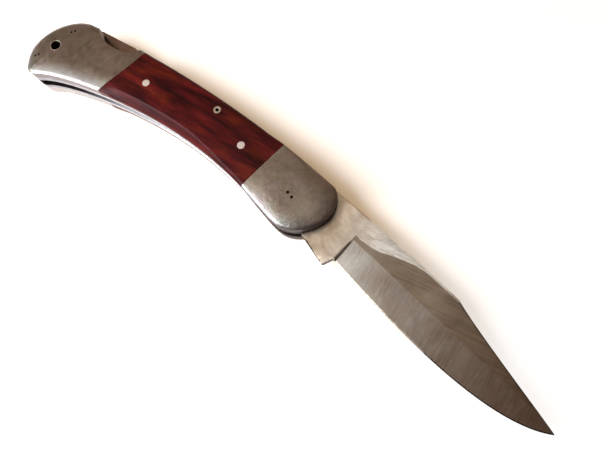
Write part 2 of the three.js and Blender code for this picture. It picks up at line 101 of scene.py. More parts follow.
# Rim: on the wood a soft ridge and a slope down from it, on the bolsters a long crown, and a small round
# at the very edge of both
RIM_SLOPE = 0.72
RIM_DEEPEST = 1.75
CROWN_CURVE = 0.013
HEEL_CURVE = 0.021
NOSE_CURVE = 0.018
NOSE_EASING = 0.6
NOSE_BLEND = (3, 12)
DOME_FROM = 5.6
DOME_BLEND = (-7, 2)
CREASE_BLEND = (0.8, 2.2)
EDGE_RUN = 1.05
EDGE_DEEP = 0.6
EDGE_END = 0.76
RIDGE_RADIUS = 0.26
CORNER_RUN = 0.4
CORNER_DROP = 0.4
PILLOW_RUN = 8.0
PILLOW_DROP = 0.2
BLEND_RUN = 4.0

# Seams between wood and bolsters: where each starts along X, and how far its middle and its end lean on
REAR_SEAM_X = BUTT_X + 38.8
FRONT_SEAM_X = -11.6
REAR_SEAM = (REAR_SEAM_X, -1.5, -5.5)
FRONT_SEAM = (FRONT_SEAM_X, -1.75, -3.5)
SEAM_TOP_Y = 14.5
SEAM_HEIGHT = 22.0
SEAM_GAP = 0.04

# Thumb notch
NOTCH_CENTRE = (BUTT_X + 26.0, 13.6)
NOTCH_REACH = (10.0, 5.3)

# Fasteners
PIVOT = (0.0, 0.0)
BUTT_TOP_PIN = (BUTT_X + 9.25, 5.1)
BUTT_LOW_PIN = (BUTT_X + 3.95, -9.6)
FRONT_PIN = (FRONT_SEAM_X - 12.0, 4.5)
REAR_PIN = (REAR_SEAM_X + 8.3, 4.2)
RIVET = (-38.5, 10.1)
TUBE = (BUTT_X + 7.3, -2.8)
PIVOT_HEAD = 3.3
PIVOT_HEAD_DEPTH = 1.1
BUTT_HEAD = 1.7
BUTT_HEAD_DEPTH = 0.9
PIN_RADIUS = 1.3
RIVET_RADIUS = 1.4
RIVET_BORE = 0.6
TUBE_RADIUS = 2.2
TUBE_BORE = 1.85
HAIRLINE = 0.006
PIN_DOME = 0.02
POST_SOFT = 0.1

# Rounds along the sharp edges of the plates, the lock bar and the thin inner pieces
LINER_SOFT = 0.3
BAR_SOFT = 0.22
THIN_SOFT = 0.1

# Driver holes: spacing, radius, angle and depth; barrels and threads: radius, bore and lower end
PIVOT_DOTS = (2.1, 0.54, -17, 0.6)
PIVOT_BARREL = (2.4, 1.36, 1.3)
PIVOT_THREAD = (1.3, 0.6, TOP - 6.9)
BUTT_DOTS = (1.42, 0.42, 50, 0.5)
BUTT_BARREL = (1.1, 0.61, 1.1)
BUTT_THREAD = (0.55, 0.2, TOP - 6.8)

# Lock bar: how far its back rises, and between which distances behind the pivot and heights that grows
BAR_RISE = 0.15
BAR_RISES = (79, 84)
BAR_TAIL_RISE = 0.7
BAR_TAIL_RISES = (92, 99)
BAR_BACK = (9.5, 11.0)

# Rims and walls that are painted darker as shade
DARK_WALL_FROM = -14.0
DARK_RIM = 0.25
DARK_RIM_TO = 19.4
BUTT_RIM_RUN = 3

# Blade lines, and the arms of their curves
CLIP_START = (60.0, 3.35)
RICASSO_END = 22.6
EDGE_START_Y = -8.2
TIP_Y = -12.75
TIP_HALF = 0.05
SPINE_BOW = (1.5, 1.45)
CLIP_ARMS = ((6, -3.25), (-16.2, 6.2))
EDGE_ARMS = ((24.4, -5.4), (-16.2, -9.4))
RIDGE_ENDS = ((RICASSO_END, 0.6), (94.2, -10.6))
RIDGE_ARMS = ((20, -2.6), (-16, 1.7))

# Tang: the lock notch's wall and floor, the round from an angle to a place along X, the bore and the kick
TANG_WALL_X = -3.05
TANG_WALL_LOW = 4.6
NOTCH_FLOOR_END = (-5.25, 3.8)
TANG_RADIUS = 7.4
TANG_FROM = 143
TANG_TO_X = 4.56
TANG_BORE = 2.52
KICK = [(9.7, -7.7), (19.2, -11.19), (19.9, -11.4), (20.25, -11.2), (20.6, -10.7), (RICASSO_END - 0.6, -8.0)]


def curve_points(start, end, leave, arrive):
    """Points of a cubic curve given by its ends and the arms at both"""
    a, d = np.array(start, float), np.array(end, float)
    b, c = a + leave, d + arrive
    t = np.linspace(0, 1, 200)[:, None]
    return (1 - t) ** 3 * a + 3 * (1 - t) ** 2 * t * b + 3 * (1 - t) * t ** 2 * c + t ** 3 * d


def bowed(start, middle, end, count):
    """Points of a curve that bows toward a middle place"""
    t = np.linspace(0, 1, count)[:, None]
    return (1 - t) ** 2 * np.array(start) + 2 * t * (1 - t) * np.array(middle) + t ** 2 * np.array(end)


def even(points, step):
    """The same line with its points evenly spaced"""
    lengths = np.concatenate([[0], np.cumsum(np.linalg.norm(np.diff(points, axis=0), axis=1))])
    count = max(2, int(round(lengths[-1] / step)) + 1)
    at = np.linspace(0, lengths[-1], count)
    return np.stack([np.interp(at, lengths, points[:, k]) for k in range(points.shape[1])], axis=1)


def smooth(value, low, high):
    """0 below low, 1 above high, and an S-curve between them"""
    t = np.clip((value - low) / (high - low), 0, 1)
    return t * t * (3 - 2 * t)


def handle_outline():
    """The closed outline, anticlockwise, with the reach of the ridge and of the crown at each point"""
    line, ridge, crown = [], [], []
    for start, end, leave, arrive, *reaches in STRETCHES:
        points = even(curve_points(start, end, leave, arrive), OUTLINE_STEP)[:-1]
        share = np.linspace(0, 1, len(points))
        line.append(points)
        for (first, middle, last), found in zip(reaches, (ridge, crown)):
            early = first + (middle - first) * smooth(share, 0, 0.5)
            late = middle + (last - middle) * smooth(share, 0.5, 1)
            found.append(np.where(share < 0.5, early, late))
    line = np.clip(np.concatenate(line), (BUTT_X, -np.inf), (np.inf, SPINE_HIGH))
    return line, np.concatenate(ridge), np.concatenate(crown)


OUTLINE, RIM, CROWN = handle_outline()
ROWS_AT_ONCE = 1500


def nearest(points, line, values=None, closed=False):
    """Distance from each point to a line, and the line's own value at the nearest place"""
    starts = line if closed else line[:-1]
    ends = np.roll(line, -1, axis=0) if closed else line[1:]
    along = ends - starts
    lengths = np.maximum(np.sum(along * along, axis=1), 1e-12)
    distance = np.empty(len(points))
    found = np.zeros(len(points))
    for first in range(0, len(points), ROWS_AT_ONCE):
        part = points[first:first + ROWS_AT_ONCE]
        offset = part[:, None, :] - starts[None]
        t = np.clip(np.sum(offset * along, axis=2) / lengths, 0, 1)
        gap = np.linalg.norm(offset - t[..., None] * along, axis=2)
        best = np.argmin(gap, axis=1)
        rows = np.arange(len(part))
        distance[first:first + ROWS_AT_ONCE] = gap[rows, best]
        if values is not None:
            share = t[rows, best]
            following = (best + 1) % len(values)
            found[first:first + ROWS_AT_ONCE] = values[best] * (1 - share) + values[following] * share
    return distance, found


def gap_to(points, loop):
    """Distance from each point to a closed loop"""
    return nearest(points, loop, closed=True)[0]


def inside(points, loop):
    """Which points lie inside a closed loop"""
    x, y = points[:, 0:1], points[:, 1:2]
    ax, ay = loop[:, 0], loop[:, 1]
    bx, by = np.roll(ax, -1), np.roll(ay, -1)
    crosses = (ay > y) != (by > y)
    rise = np.where(by == ay, 1, by - ay)
    return np.sum(crosses & (x < ax + (y - ay) * (bx - ax) / rise), axis=1) % 2 == 1


def at_angles(place, radius, turn):
    """Points at some angles round a place, where two radii make an ellipse"""
    return np.stack([np.cos(turn), np.sin(turn)], axis=1) * radius + place


def circle(place, radius, count):
    """A closed loop of points round a place"""
    return at_angles(place, radius, np.linspace(0, 2 * math.pi, count, endpoint=False))


def arc(place, radius, start, end, count):
    """Points of a circle between two angles in degrees"""
    return at_angles(place, radius, np.radians(np.linspace(start, end, count)))


def inward(loop):
    """The direction to the inside of a closed loop at each of its points"""
    along = np.roll(loop, -1, axis=0) - np.roll(loop, 1, axis=0)
    return np.stack([-along[:, 1], along[:, 0]], axis=1) / np.linalg.norm(along, axis=1)[:, None]


def spread_from(loops, shares):
    """Each loop grown from its middle by each share"""
    return [loop + (loop - loop.mean(axis=0)) * share for loop in loops for share in shares]


def hexagonal(low, high, step):
    """Evenly spread points over a rectangle"""
    row_height = step * 0.866
    rows = []
    for k, y in enumerate(np.arange(low[1], high[1], row_height)):
        x = np.arange(low[0] + step / 2 * (k % 2), high[0], step)
        rows.append(np.stack([x, np.full(len(x), y)], axis=1))
    return np.concatenate(rows)


def thinned(points, gap):
    """Points of which no two are nearer than a gap"""
    tree = KDTree(len(points))
    for i, (x, y) in enumerate(points):
        tree.insert((x, y, 0), i)
    tree.balance()
    kept = np.ones(len(points), bool)
    for i, (x, y) in enumerate(points):
        if kept[i]:
            for _, j, _ in tree.find_range((x, y, 0), gap):
                kept[j] = j == i
    return points[kept]


def triangulated(points, edges, epsilon):
    """Points and triangles that keep some edges, and the old points that each new one stands for"""
    flat = [Vector(point) for point in points]
    edges = [(int(a), int(b)) for a, b in edges]
    verts, _, faces, olds, *_ = delaunay_2d_cdt(flat, edges, [], 0, epsilon)
    return np.array([tuple(v) for v in verts]), np.array(faces), olds


LEAST_GAP = 0.055


def plan(loops, lines, free, clear):
    """Triangles over free points, along closed loops and open lines that they never cross"""
    walls = [(loop, True) for loop in loops] + [(line, False) for line in lines]
    edges, count = [], 0
    near = np.full(len(free), np.inf)
    for line, closed in walls:
        number = len(line)
        edges += [(count + i, count + (i + 1) % number) for i in range(number if closed else number - 1)]
        count += number
        near = np.minimum(near, nearest(free, line, closed=closed)[0])
    kept = thinned(free[near > clear], max(clear, LEAST_GAP))
    return triangulated(np.concatenate([*loops, *lines, kept]), edges, 1e-5)[:2]


def border(triangles):
    """The directed edges that only one triangle has"""
    edges = np.concatenate([triangles[:, [0, 1]], triangles[:, [1, 2]], triangles[:, [2, 0]]])
    known = {tuple(edge) for edge in edges}
    return np.array([edge for edge in edges if (edge[1], edge[0]) not in known])


def linked(name, data):
    """A new object in the scene"""
    made = bpy.data.objects.new(name, data)
    scene.collection.objects.link(made)
    return made


def object_from(name, verts, faces, zones, sharp=40):
    """A smooth-shaded object from a shape in millimetres, without the points that no face has"""
    used = np.unique(np.concatenate(faces))
    number = {int(old): new for new, old in enumerate(used)}
    mesh = bpy.data.meshes.new(name)
    places = [tuple(place) for place in verts[used] * MM]
    mesh.from_pydata(places, [], [tuple(number[int(v)] for v in face) for face in faces])
    mesh.polygons.foreach_set("material_index", np.asarray(zones, np.int32))
    mesh.shade_smooth()
    mesh.set_sharp_from_angle(angle=math.radians(sharp))
    mesh.update()
    return linked(name, mesh)


def raised(flat, height):
    """Flat points at one height, or at a height each"""
    return np.column_stack([flat, np.broadcast_to(height, len(flat))])


def turned_over(triangles, first):
    """The same triangles facing the other way, their points counted from another first one"""
    return [(first + a, first + c, first + b) for a, b, c in triangles]


def slab(upper, triangles, seams):
    """Part of a side: its shaped upper face, walls along its border and a flat lower face.

    Zone 1 is the thumb notch's wall and the rim of the butt's lower end, zone 2 the walls round the nose and
    the butt and the heel's rim, both painted darker as shade, and zone 0 the rest.
    """
    flat, count = upper[:, :2], len(upper)
    rim = border(triangles)
    rim_points, rim_index = np.unique(rim, return_inverse=True)
    rim_index = rim_index.reshape(-1, 2)
    floor_verts, floor_faces, stood_for = triangulated(flat[rim_points], rim_index, 1e-6)
    floor_faces = floor_faces[side_part(floor_verts[floor_faces].mean(axis=1), *seams)]
    below = {old: count + new for new, olds in enumerate(stood_for) for old in olds}
    walls = [(b, a, below[int(c)], below[int(d)]) for (a, b), (c, d) in zip(rim, rim_index)]
    middles = flat[rim].mean(axis=1)
    # Painted shade: darker zones for the notch's wall, the walls at both ends and the rims of the heel and
    # the butt's low end
    notch_shade = gap_to(middles, NOTCH) < ON_LINE
    end_wall_shade = (middles[:, 0] > DARK_WALL_FROM) | (middles[:, 0] < REAR_SEAM_X)
    centres = flat[triangles].mean(axis=1)
    x, y = centres.T
    at_rim = gap_to(centres, OUTLINE) < DARK_RIM
    heel = at_rim & (x > DARK_WALL_FROM) & (y < 0)
    butt = at_rim & (x < BUTT_LOW[0] + BUTT_RIM_RUN) & (y < BUTT_END[1])
    zones = np.concatenate([
        np.where(butt, 1, np.where(heel, 2, 0)),
        np.where(notch_shade, 1, np.where(end_wall_shade, 2, 0)),
        np.zeros(len(floor_faces)),
    ])
    faces = [tuple(f) for f in triangles] + walls + turned_over(floor_faces, count)
    return np.concatenate([upper, raised(floor_verts, SIDE_LOW)]), faces, zones


def flipped(verts, faces, zones):
    """The same shape on the other side of the knife"""
    mirrored = verts * (1, 1, -1) + (0, 0, TOP)
    return mirrored, [tuple(reversed(face)) for face in faces], zones


def together(first, second):
    """Two shapes as one"""
    count = len(first[0])
    moved = [tuple(count + v for v in face) for face in second[1]]
    return np.concatenate([first[0], second[0]]), first[1] + moved, first[2] + second[2]


# Sides of the handle
def seam_line(seam, shift):
    """Points of a seam that is moved along the handle, from the spine down"""
    x, bow, lean = seam[0] + shift, *seam[1:]
    middle = (x + bow, SEAM_TOP_Y - SEAM_HEIGHT / 2)
    return bowed((x, SEAM_TOP_Y), middle, (x + lean, SEAM_TOP_Y - SEAM_HEIGHT), 60)


SEAMS = [seam_line(seam, side * SEAM_GAP / 2) for seam in (REAR_SEAM, FRONT_SEAM) for side in (-1, 1)]


def seam_x(seam, points):
    """Where a seam is at the height of each point"""
    return np.interp(points[:, 1], seam[::-1, 1], seam[::-1, 0])


def notch_loop(grow=0.0):
    """The thumb notch's ellipse"""
    return circle(NOTCH_CENTRE, np.array(NOTCH_REACH) + grow, 160)


NOTCH = notch_loop()
FITTINGS = [
    (PIVOT, PIVOT_HEAD, 96), (BUTT_TOP_PIN, BUTT_HEAD, 64), (BUTT_LOW_PIN, BUTT_HEAD, 64),
    (FRONT_PIN, PIN_RADIUS, 56), (REAR_PIN, PIN_RADIUS, 56), (RIVET, RIVET_RADIUS, 56),
    (TUBE, TUBE_RADIUS, 72),
]
SIDE_HOLES = [circle(place, radius + HAIRLINE, count) for place, radius, count in FITTINGS]
HOLE_BREAK = 0.004
NOTCH_BREAK = 0.03
NOTCH_BREAK_RUN = 0.2
SOFT_POWER = 8


def soft_distance(points, plain):
    """Distance to the outline, without the crease that the plain one has behind a corner"""
    spacing = np.linalg.norm(np.roll(OUTLINE, -1, axis=0) - OUTLINE, axis=1)
    straight = math.sqrt(math.pi) * math.gamma((SOFT_POWER - 1) / 2) / math.gamma(SOFT_POWER / 2)
    soft = np.empty(len(points))
    for first in range(0, len(points), ROWS_AT_ONCE):
        part = points[first:first + ROWS_AT_ONCE]
        gap = np.maximum(np.sum((part[:, None, :] - OUTLINE[None]) ** 2, axis=2), 1e-3)
        soft[first:first + ROWS_AT_ONCE] = np.sum(spacing / gap ** (SOFT_POWER / 2), axis=1)
    soft = (soft / straight) ** (-1 / (SOFT_POWER - 1))
    return plain + (soft - plain) * smooth(plain, *CREASE_BLEND)


def side_top(points):
    """Height of the side's outer face over each point"""
    d, rim = nearest(points, OUTLINE, RIM, closed=True)
    _, reach = nearest(points, OUTLINE, CROWN, closed=True)
    d = np.where(d < 1e-4, 0, d)
    x = points[:, 0]
    beyond = rim - d
    slope = np.minimum(RIM_DEEPEST, rim * RIM_SLOPE) / rim
    crisp = slope * (np.sqrt(beyond ** 2 + RIDGE_RADIUS ** 2) + beyond) / 2
    corner = np.clip((CORNER_RUN - d) / CORNER_RUN, 0, 1)
    crisp += CORNER_DROP * (1 - np.sqrt(1 - corner ** 2))
    turn = np.clip(1 - d / EDGE_RUN, 0, EDGE_END)
    at_nose = smooth(x, *NOSE_BLEND)
    round_off = EDGE_DEEP * (1 - np.sqrt(1 - turn ** 2)) * (1 - NOSE_EASING * at_nose)
    beside = CROWN_CURVE * np.maximum(reach - soft_distance(points, d), 0) ** 2
    curve = HEEL_CURVE + (NOSE_CURVE - HEEL_CURVE) * at_nose
    domed = curve * np.maximum(np.linalg.norm(points - PIVOT, axis=1) - DOME_FROM, 0) ** 2
    round_off += beside + (domed - beside) * smooth(x, *DOME_BLEND)
    wooden = smooth(x, REAR_SEAM_X - BLEND_RUN, REAR_SEAM_X + BLEND_RUN)
    wooden *= 1 - smooth(x, FRONT_SEAM_X - 2 * BLEND_RUN, FRONT_SEAM_X)
    fall = round_off + (crisp - round_off) * wooden
    fall += PILLOW_DROP * (1 - np.clip(d / PILLOW_RUN, 0, 1)) ** 2
    fall += NOTCH_BREAK * np.clip(1 - gap_to(points, NOTCH) / NOTCH_BREAK_RUN, 0, 1) ** 2
    for hole in SIDE_HOLES:
        fall += np.where(gap_to(points, hole) < 1e-3, HOLE_BREAK, 0)
    return TOP - fall


def surface_at(place):
    """Height of the side's outer face at one place"""
    return float(side_top(np.array([place]))[0])


def ring_points(reaches):
    """Points that follow the outline at each of some distances inside it"""
    rows = []
    for reach in reaches:
        points = OUTLINE + inward(OUTLINE) * reach[:, None]
        rows.append(points[gap_to(points, OUTLINE) > reach * 0.97])
    return np.concatenate(rows)


# Rows of the sides' net, in from the edge, about the ridge and the crown, out from the notch and beside
# the seams, and the distance between its other points
EDGE_ROWS = (0.04, 0.1, 0.19, 0.32, 0.48, 0.66, 0.86, 1.05, 1.3)
RIDGE_ROWS = (-1.2, -0.8, -0.45, -0.2, 0.0, 0.2, 0.45, 0.8, 1.3)
RIDGE_ROWS_FROM = 0.75
CROWN_ROWS = np.arange(0.1, 1.1, 0.1)
CROWN_ROWS_FROM = 0.6
NOTCH_ROWS = (0.2, 0.45, 0.8, 1.2, 1.7, 2.3, 3.0)
SEAM_STEP = 0.18
SEAM_FINE = 0.25
NET_STEP = 1.2
ON_LINE = 0.02


def side_plan():
    """One net of triangles that all the pieces of a side share"""
    near = [np.full(len(RIM), distance) for distance in EDGE_ROWS]
    ridge = [np.maximum(RIM + gap, RIDGE_ROWS_FROM) for gap in RIDGE_ROWS]
    within = [np.maximum(CROWN * share, CROWN_ROWS_FROM) for share in CROWN_ROWS]
    free = np.concatenate([
        *[seam_line(seam, gap) for seam in (REAR_SEAM, FRONT_SEAM) for gap in (SEAM_STEP, -SEAM_STEP)],
        *[notch_loop(grow) for grow in NOTCH_ROWS],
        *spread_from(SIDE_HOLES, (0.06, 0.2)),
        ring_points(near),
        ring_points(within),
        ring_points(ridge),
        hexagonal(OUTLINE.min(axis=0), OUTLINE.max(axis=0), NET_STEP),
    ])
    free = free[inside(free, OUTLINE)]
    free = free[gap_to(free, OUTLINE) > ON_LINE]
    fine_seams = [even(seam, SEAM_FINE) for seam in SEAMS]
    return plan([OUTLINE, NOTCH, *SIDE_HOLES], fine_seams, free, 0.04)


def side_part(points, after, before):
    """Which points lie in the part of a side between two seams, or up to its end where one is None"""
    kept = inside(points, OUTLINE) & ~inside(points, NOTCH)
    for hole in SIDE_HOLES:
        kept &= ~inside(points, hole)
    if after is not None:
        kept &= points[:, 0] > seam_x(after, points)
    if before is not None:
        kept &= points[:, 0] < seam_x(before, points)
    return kept


SIDE_PARTS = {
    "rear_bolster": (None, SEAMS[0]),
    "scale": (SEAMS[1], SEAMS[2]),
    "front_bolster": (SEAMS[3], None),
}


def side_pieces():
    """Bolsters and scales of both sides"""
    verts, triangles = side_plan()
    centres = verts[triangles].mean(axis=1)
    upper = raised(verts, side_top(verts))
    made = {}
    for name, seams in SIDE_PARTS.items():
        shape = slab(upper, triangles[side_part(centres, *seams)], seams)
        for side, solid in (("_upper", shape), ("_lower", flipped(*shape))):
            made[name + side] = object_from(name + "_shell" + side, *solid, sharp=30)
    return made


# Blade
def blade_lines():
    """Points of the blade's spine, clip, edge and ridge, toward the tip"""
    handle_back = curve_points(*STRETCHES[0][:4])[::-1]
    start = np.array([TANG_WALL_X, float(np.interp(TANG_WALL_X, handle_back[:, 0], handle_back[:, 1]))])
    spine = bowed(start, (start + CLIP_START) / 2 + SPINE_BOW, CLIP_START, 120)
    clip = curve_points(CLIP_START, (TIP_X, TIP_Y + TIP_HALF), *CLIP_ARMS)
    edge = curve_points((RICASSO_END, EDGE_START_Y), (TIP_X, TIP_Y - TIP_HALF), *EDGE_ARMS)
    return spine, clip, edge, curve_points(*RIDGE_ENDS, *RIDGE_ARMS)


SPINE, CLIP, EDGE, RIDGE = blade_lines()
BACK = np.concatenate([SPINE, CLIP[1:]])
FLAT_LIMIT = np.array([
    (22.7, 2.3), (25.8, 1.7), (30.3, 1.6), (33.0, 2.0), (36.0, 3.0), (39.5, 3.8), (43.5, 4.6),
    (47.0, 4.75), (52.0, 4.05), (57.0, 3.2), (60.0, 2.9), (62.5, 2.6), (66.0, 3.4),
])
PLUNGE_X = 22.05
PLUNGE_LEAN = 0.125
PLUNGE_Y = -8.0
PLUNGE_RUN = 0.9
RIDGE_HALF = [(20.0, 1.46), (40.0, 1.34), (60.0, 1.14), (76.0, 0.93), (90.0, 0.66), (TIP_X, 0.06)]
BACK_HALF = [(20.0, 1.5), (56.0, 1.5), (63.0, 1.16), (78.0, 0.82), (92.0, 0.5), (TIP_X, 0.06)]
EDGE_HALF = 0.03
MICRO_RUN = 0.45
MICRO_RISE = 0.12
EDGE_GAPS = (0.1, 0.25, MICRO_RUN - 0.1, MICRO_RUN, MICRO_RUN + 0.15)
LINE_GAPS = (-0.7, -0.45, -0.2, 0.2, 0.4)
KEEN_FROM = 60.0
BACK_BREAK = 0.38
BACK_BREAK_DEEP = 0.12
RIM_BREAK = 0.12
RIM_BREAK_DEEP = 0.03
THICK_HALF = 0.5
# Where the back's worn edge runs along X; it is brightened as a painted highlight
WORN_HIGHLIGHT_FROM = 25.0
WORN_HIGHLIGHT_TO = 57.0


def over(table, x):
    """The value that a line or table has over X"""
    rows = np.asarray(table)
    return np.interp(x, rows[:, 0], rows[:, 1])


def plunge_x(y):
    """Where the grind begins, a little further on toward the spine"""
    return PLUNGE_X + PLUNGE_LEAN * (y - PLUNGE_Y)


def blade_half(points):
    """Half of the blade's thickness over each point"""
    x, y = points.T
    back, edge, ridge = over(BACK, x), over(EDGE, x), over(RIDGE, x)
    ridge = np.where(x > RIDGE[-1, 0], back, np.minimum(ridge, back))
    ridge_half = over(RIDGE_HALF, x)
    share = np.clip((y - edge) / np.maximum(ridge - edge, 0.05), 0, 1)
    lower = MICRO_RISE + EDGE_HALF + (ridge_half - MICRO_RISE - EDGE_HALF) * share
    micro = np.clip((y - edge) / MICRO_RUN, 0, 1)
    lower = np.minimum(lower, EDGE_HALF + (MICRO_RISE + 0.05) * micro + share * ridge_half)
    top = np.minimum(np.where(x < FLAT_LIMIT[-1, 0], over(FLAT_LIMIT, x), back), back)
    rise = np.clip((y - ridge) / np.maximum(top - ridge, 0.3), 0, 1)
    upper = ridge_half + (over(BACK_HALF, x) - ridge_half) * rise
    ground = np.where(y < ridge, lower, upper)
    begun = smooth(x, plunge_x(y), plunge_x(y) + PLUNGE_RUN)
    return HALF_BLADE + (ground - HALF_BLADE) * begun


def blade_outline():
    """The whole blade's outline, anticlockwise from the wall of the lock notch"""
    wall_radius = TANG_WALL_X - RIVET[0]
    low = math.degrees(math.asin((TANG_WALL_LOW - RIVET[1]) / wall_radius))
    high = math.degrees(math.asin((SPINE[0, 1] - RIVET[1]) / wall_radius))
    run_out = 270 + math.degrees(math.asin(TANG_TO_X / TANG_RADIUS))
    return np.concatenate([
        arc(RIVET, wall_radius, high, low, 8),
        [NOTCH_FLOOR_END],
        arc(PIVOT, TANG_RADIUS, TANG_FROM, run_out, 40),
        KICK,
        even(EDGE, 0.6),
        even(CLIP[::-1], 0.6)[1:-1],
        even(SPINE[::-1], 0.8)[:-1],
    ])


def blade_piece():
    """The blade, ground on both sides"""
    outline = blade_outline()
    bore = circle(PIVOT, TANG_BORE, 64)
    ridge = even(RIDGE[RIDGE[:, 0] > RICASSO_END + 0.2][:-6], 0.5)
    limit = even(FLAT_LIMIT[1:-3], 0.5)
    y = np.linspace(EDGE_START_Y, 4.0, 40)
    free = np.concatenate([
        *[line + (0, gap) for line in (ridge, limit) for gap in LINE_GAPS],
        *[np.stack([plunge_x(y) + gap, y], axis=1) for gap in np.linspace(-0.2, PLUNGE_RUN + 0.2, 9)],
        *[outline + inward(outline) * gap for gap in EDGE_GAPS],
        hexagonal((RICASSO_END, -17), (TIP_X, 10), 0.9),
        hexagonal((-8, -12), (RICASSO_END, 12), 1.5),
    ])
    free = free[inside(free, outline) & (gap_to(free, outline) > 0.05)]
    flat, triangles = plan([outline, bore], [ridge, limit], free, 0.07)
    centres = flat[triangles].mean(axis=1)
    kept = inside(centres, outline) & ~inside(centres, bore)
    centres, triangles = centres[kept], triangles[kept]
    half = blade_half(flat)
    to_edge, to_back = gap_to(flat, outline), nearest(flat, BACK)[0]
    half -= BACK_BREAK_DEEP * np.clip(1 - to_back / BACK_BREAK, 0, 1) * (half > THICK_HALF)
    half -= RIM_BREAK_DEEP * np.clip(1 - to_edge / RIM_BREAK, 0, 1) * (half > THICK_HALF)
    count = len(flat)
    verts = np.concatenate([raised(flat, MID + half), raised(flat, MID - half)])
    rim = border(triangles)
    faces = [tuple(f) for f in triangles] + turned_over(triangles, count)
    faces += [(b, a, count + a, count + b) for a, b in rim]
    walls = np.where(flat[rim].mean(axis=1)[:, 0] < RICASSO_END, 5, 3)
    zone = blade_zones(centres, nearest(centres, BACK)[0], gap_to(centres, outline))
    zones = np.concatenate([zone, zone, walls])
    return object_from("blade_ground", verts, faces, zones, sharp=30)


def blade_zones(points, from_back, from_rim):
    """A zone for each point of the blade's sides.

    0 is what no grind reaches, 1 the lower bevel, 2 the upper one, 3 the keen edge's far part, painted dark
    as shade, 4 the worn edge along the back, brightened as a painted highlight, and 5 the ricasso's rim,
    painted dark as shade. The walls are 5 as far as the ricasso and 3 from there on.
    """
    x, y = points.T
    ridge = np.where(x > RIDGE[-1, 0], 99, over(RIDGE, x))
    limit = np.where(x < FLAT_LIMIT[-1, 0], over(FLAT_LIMIT, x), 99)
    zone = np.where(y < ridge, 1, np.where(y < limit, 2, 0))
    zone = np.where((y < over(EDGE, x) + MICRO_RUN * 0.8) & (x > KEEN_FROM), 3, zone)
    zone = np.where((from_back < BACK_BREAK) & (x > WORN_HIGHLIGHT_FROM) & (x < WORN_HIGHLIGHT_TO), 4, zone)
    zone = np.where(x < plunge_x(y) + PLUNGE_RUN * 0.35, 0, zone)
    return np.where((from_rim < DARK_RIM) & (x < DARK_RIM_TO) & (y < -5), 5, zone)


# Fasteners and small pieces
def turned(place, profile, count=64):
    """The shape of a ring or pin turned round a vertical axis, from a profile of radius and height.

    A ring's profile ends at its bore, whose wall is zone 1.
    """
    verts, rows = [], []
    for radius, height in profile:
        number = count if radius else 1
        rows.append([len(verts) + i % number for i in range(count)])
        verts += [(x, y, height) for x, y in circle(place, radius, number)]
    faces, zones = [], []
    closed = profile[0][0] > 0
    for k in range(len(rows) if closed else len(rows) - 1):
        lower, upper = rows[k], rows[(k + 1) % len(rows)]
        for i in range(count):
            j = (i + 1) % count
            corners = [lower[i], lower[j], upper[j], upper[i]]
            faces.append([v for n, v in enumerate(corners) if v not in corners[:n]])
            zones.append(1 if closed and k == len(rows) - 1 else 0)
    return np.array(verts), faces, zones


def tube_profile(radius, bore, low, high, soft):
    """Profile of a tube whose two rims are rounded"""
    return [
        (bore, low + soft), (bore + soft, low), (radius - soft, low), (radius, low + soft),
        (radius, high - soft), (radius - soft, high), (bore + soft, high), (bore, high - soft),
    ]


def pin_profile(radius, low, high, dome):
    """Profile of a pin with a slightly domed upper end"""
    rings = [(radius * math.sin(a), high - dome * (1 - math.cos(a))) for a in np.linspace(math.pi / 2, 0, 7)]
    return [(0, low), (radius, low), (radius, high - 2 * dome), *rings]


def fastener_half(place, radius, depth, dots, shank):
    """The shape of a flush head with two blind driver holes, and of the shank under it"""
    spacing, hole, angle, hole_depth = dots
    toward = np.array([math.cos(math.radians(angle)), math.sin(math.radians(angle))])
    rim = circle(place, radius, 96)
    wells = [circle(np.array(place) + side * spacing / 2 * toward, hole, 28) for side in (-1, 1)]
    soft = [circle(place, radius - 0.06, 96), circle(place, radius - 0.3, 48)]
    soft += spread_from(wells, (0.12, 0.4))
    verts, triangles = plan([rim, *wells], [], np.concatenate(soft), 0.01)
    centres = verts[triangles].mean(axis=1)
    whole = inside(centres, rim)
    in_well = inside(centres, wells[0]) | inside(centres, wells[1])
    base, floors, open_face = triangles[whole], triangles[whole & in_well], triangles[whole & ~in_well]
    to_well = np.minimum(*[gap_to(verts, well) for well in wells])
    surface = side_top(verts) - np.where(to_well < 1e-3, HOLE_BREAK, 0)
    points = np.concatenate([raised(verts, height) for height in (surface, TOP - hole_depth, TOP - depth)])
    count = len(verts)
    faces = [tuple(f) for f in open_face]
    zones = [0] * len(faces)
    outer = {tuple(e) for e in border(base)}
    for a, b in border(open_face):
        at_rim = (a, b) in outer
        level = 2 * count if at_rim else count
        faces.append((b, a, level + a, level + b))
        zones.append(0 if at_rim else 1)
    faces += [tuple(f) for f in floors + count] + turned_over(base, 2 * count)
    zones += [1] * len(floors) + [0] * len(base)
    post = turned(place, tube_profile(*shank, TOP - depth, POST_SOFT), 48)
    return together((points, faces, zones), post)


